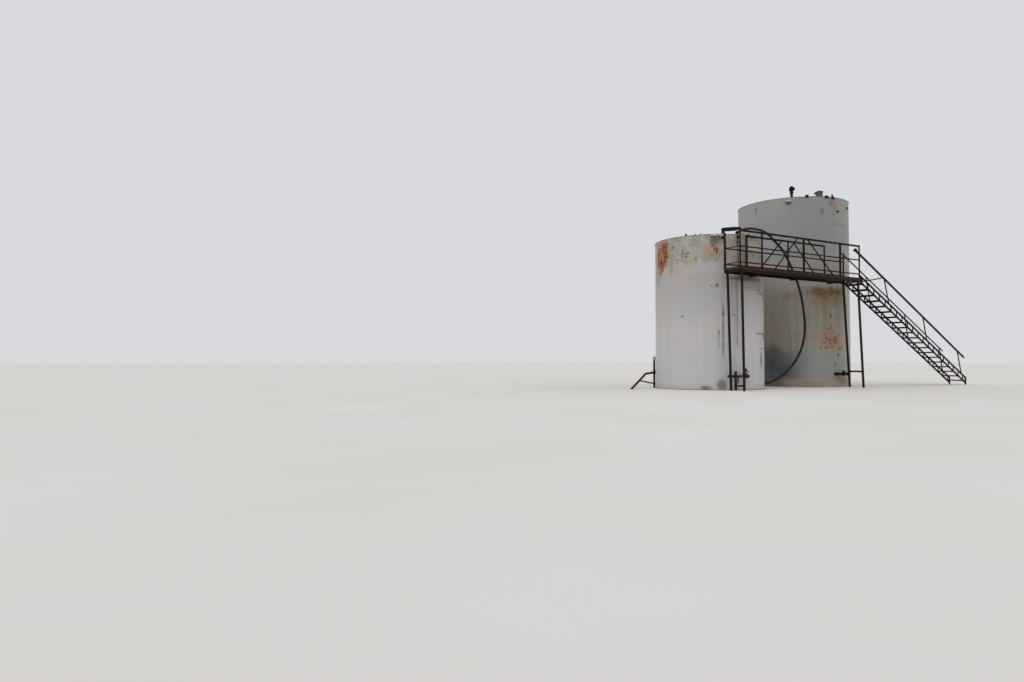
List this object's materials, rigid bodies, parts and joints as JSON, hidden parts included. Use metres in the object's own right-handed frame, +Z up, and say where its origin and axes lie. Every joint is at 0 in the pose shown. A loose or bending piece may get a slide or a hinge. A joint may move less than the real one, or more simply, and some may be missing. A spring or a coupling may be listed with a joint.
{
  "type": "storage tank pair with walkway and stair",
  "caption": "Short and tall upright welded steel storage tanks on the ground, joined by a raised steel walkway with handrails and an open stair to one side.",
  "frame": {"origin": "on the ground under the middle of the whole structure", "axes": "+X along the walkway towards the foot of the stair, +Y from the walkway towards the tanks, +Z up"},
  "size_m": [13.4832, 4.735, 7.1329],
  "materials": {
    "white_paint": "weathered white paint with rust",
    "grey_paint": "weathered grey-white paint with rust",
    "rusty_steel": "dark brown rusted steel",
    "bare_steel": "dark rusted pipe and fittings",
    "black_hose": "black polyethylene hose"
  },
  "bodies": {
    "structure": {"short_tank_wall_1": "white_paint", "short_tank_wall_2": "white_paint", "short_tank_wall_3": "white_paint", "short_tank_wall_4": "white_paint", "tall_tank_wall_1": "grey_paint", "tall_tank_wall_2": "grey_paint", "tall_tank_wall_3": "grey_paint", "tall_tank_wall_4": "grey_paint", "short_tank_roof": "white_paint", "tall_tank_roof": "grey_paint", "short_tank_floor": "bare_steel", "tall_tank_floor": "bare_steel", "front_channel": "rusty_steel", "back_channel": "rusty_steel", "deck_plate": "rusty_steel", "cross_bearer_1": "rusty_steel", "cross_bearer_2": "rusty_steel", "cross_bearer_3": "rusty_steel", "left_end_bar": "rusty_steel", "right_end_bar": "rusty_steel", "front_handrail": "rusty_steel", "back_handrail": "rusty_steel", "tie_bracket": "rusty_steel", "left_front_leg": "rusty_steel", "left_back_leg": "rusty_steel", "right_front_leg": "rusty_steel", "right_back_leg": "rusty_steel", "leg_strut": "rusty_steel", "front_stringer": "rusty_steel", "back_stringer": "rusty_steel", "front_stair_rail": "rusty_steel", "back_stair_rail": "rusty_steel", "tread_1": "rusty_steel", "tread_2": "rusty_steel", "tread_3": "rusty_steel", "tread_4": "rusty_steel", "tread_5": "rusty_steel", "tread_6": "rusty_steel", "tread_7": "rusty_steel", "tread_8": "rusty_steel", "tread_9": "rusty_steel", "tread_10": "rusty_steel", "tread_11": "rusty_steel", "tread_12": "rusty_steel", "tread_13": "rusty_steel", "tread_14": "rusty_steel", "tread_15": "rusty_steel", "tread_16": "rusty_steel", "tread_17": "rusty_steel", "tread_18": "rusty_steel", "tread_19": "rusty_steel", "tread_20": "rusty_steel", "inlet_pipe": "bare_steel", "hose_nozzle": "bare_steel", "front_pipework": "bare_steel", "tall_tank_outlet": "bare_steel", "side_pipework": "bare_steel", "hose": "black_hose"},
    "lid": {"hatch_lid": "bare_steel"},
    "lever": {"valve_lever": "bare_steel"}
  },
  "joints": [
    {"name": "hatch_hinge", "type": "hinge", "parent": "structure", "child": "lid", "pos_m": [0.3176, -0.7745, 6.5627], "axis": [-1, 0, 0], "range_deg": [0, 100]},
    {"name": "valve_turn", "type": "hinge", "parent": "structure", "child": "lever", "pos_m": [-4.2584, -1.7175, 0.612], "axis": [0, 0, 1], "range_deg": [-90, 0]}
  ]
}
